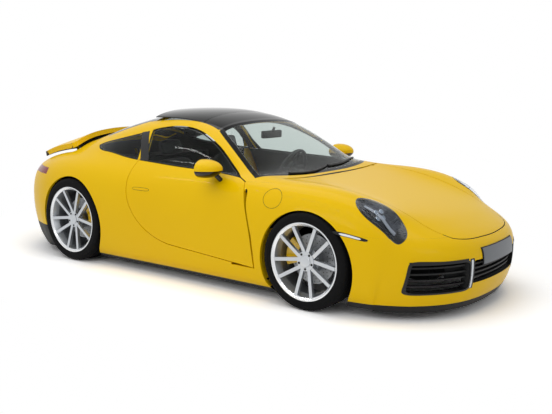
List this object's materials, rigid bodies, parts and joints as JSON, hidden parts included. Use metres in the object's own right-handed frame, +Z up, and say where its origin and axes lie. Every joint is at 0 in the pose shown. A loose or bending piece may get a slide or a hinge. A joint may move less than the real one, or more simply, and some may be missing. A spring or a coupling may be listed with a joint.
{
  "type": "coupe car",
  "caption": "Low yellow two-door sports coupe with oval headlamps, a dark glass roof, a raised tail spoiler and spoked wheels.",
  "frame": {"origin": "on the ground under the middle of the car's overall length and width", "axes": "+X to the nose, +Y to the car's left side, +Z up"},
  "size_m": [4.5217, 2.0658, 1.315],
  "materials": {
    "body_paint": "gloss",
    "bumper_paint": "gloss",
    "glass": "gloss",
    "lamp_glass": "gloss",
    "tail_lens": "gloss",
    "black_trim": "matte",
    "black_gloss": "gloss",
    "tyre": "matte",
    "wheel_metal": "satin",
    "disc_iron": "satin",
    "caliper_paint": "gloss",
    "chassis_metal": "satin",
    "underbody": "matte",
    "exhaust_steel": "satin",
    "cabin_plastic": "matte",
    "seat_leather": "satin"
  },
  "bodies": {
    "root": {"body_shell": "body_paint", "floor_pan": "underbody", "luggage_tub": "underbody", "front_wheel_houses": "underbody", "front_bumper": "bumper_paint", "front_grilles": "black_trim", "front_fender_l": "body_paint", "front_fender_r": "body_paint", "headlamps": "lamp_glass", "windscreen": "glass", "roof_panel": "glass", "sunroof": "glass", "rear_window": "glass", "quarter_glass": "glass", "tail_lamp": "tail_lens", "rear_bumper": "bumper_paint", "exhaust": "exhaust_steel", "rear_knuckles": "chassis_metal", "rear_calipers": "caliper_paint", "front_subframe": "chassis_metal", "front_upper_arms": "chassis_metal", "rear_subframe": "chassis_metal", "engine_block": "chassis_metal", "dashboard": "cabin_plastic", "front_seats": "seat_leather", "rear_seats": "seat_leather", "inner_mirror": "cabin_plastic"},
    "door_left": {"door_l": "body_paint", "door_glass_l": "glass", "mirror_l": "body_paint"},
    "door_right": {"door_r": "body_paint", "door_glass_r": "glass", "mirror_r": "body_paint"},
    "lid_front": {"front_lid": "body_paint"},
    "lid_rear": {"rear_lid": "black_trim"},
    "rear_spoiler": {"spoiler": "body_paint"},
    "knuckle_left": {"knuckle_fl": "chassis_metal", "caliper_fl": "caliper_paint"},
    "knuckle_right": {"knuckle_fr": "chassis_metal", "caliper_fr": "caliper_paint"},
    "wheel_fl": {"tyre_fl": "tyre", "rim_fl": "wheel_metal", "disc_fl": "disc_iron"},
    "wheel_fr": {"tyre_fr": "tyre", "rim_fr": "wheel_metal", "disc_fr": "disc_iron"},
    "wheel_rl": {"tyre_rl": "tyre", "rim_rl": "wheel_metal", "disc_rl": "disc_iron"},
    "wheel_rr": {"tyre_rr": "tyre", "rim_rr": "wheel_metal", "disc_rr": "disc_iron"},
    "steering": {"steering_wheel": "cabin_plastic"}
  },
  "joints": [
    {"name": "door_left_hinge", "type": "hinge", "parent": "root", "child": "door_left", "pos_m": [0.7, 0.85, 0.53], "axis": [0, 0, -1], "range_deg": [0, 65]},
    {"name": "door_right_hinge", "type": "hinge", "parent": "root", "child": "door_right", "pos_m": [0.7, -0.85, 0.53], "axis": [0, 0, 1], "range_deg": [0, 65]},
    {"name": "front_lid_hinge", "type": "hinge", "parent": "root", "child": "lid_front", "pos_m": [0.905, 0, 0.842], "axis": [0, -1, 0], "range_deg": [0, 55]},
    {"name": "rear_lid_hinge", "type": "hinge", "parent": "root", "child": "lid_rear", "pos_m": [-1.266, 0, 1.0935], "axis": [0, 1, 0], "range_deg": [0, 55]},
    {"name": "spoiler_slide", "type": "slide", "parent": "root", "child": "rear_spoiler", "axis": [-0.2425, 0, 0.9701], "range_m": [-0.075, 0]},
    {"name": "steer_left", "type": "hinge", "parent": "root", "child": "knuckle_left", "pos_m": [1.24, 0.7, 0.34], "axis": [0, 0, 1], "range_deg": [-35, 35]},
    {"name": "steer_right", "type": "hinge", "parent": "root", "child": "knuckle_right", "pos_m": [1.24, -0.7, 0.34], "axis": [0, 0, 1], "range_deg": [-35, 35]},
    {"name": "steering_wheel_turn", "type": "hinge", "parent": "root", "child": "steering", "pos_m": [0.226, 0.37, 0.792], "axis": [0.9135, 0, -0.4067], "range_deg": [-490, 490]},
    {"name": "wheel_fl_spin", "type": "hinge", "parent": "knuckle_left", "child": "wheel_fl", "pos_m": [1.24, 0.788, 0.34], "axis": [0, 1, 0], "continuous": true},
    {"name": "wheel_fr_spin", "type": "hinge", "parent": "knuckle_right", "child": "wheel_fr", "pos_m": [1.24, -0.788, 0.34], "axis": [0, 1, 0], "continuous": true},
    {"name": "wheel_rl_spin", "type": "hinge", "parent": "root", "child": "wheel_rl", "pos_m": [-1.21, 0.766, 0.358], "axis": [0, 1, 0], "continuous": true},
    {"name": "wheel_rr_spin", "type": "hinge", "parent": "root", "child": "wheel_rr", "pos_m": [-1.21, -0.766, 0.358], "axis": [0, 1, 0], "continuous": true}
  ],
  "couplings": [
    {"joint": "steer_right", "follows": "steer_left", "ratio": 1},
    {"joint": "steering_wheel_turn", "follows": "steer_left", "ratio": -14}
  ]
}
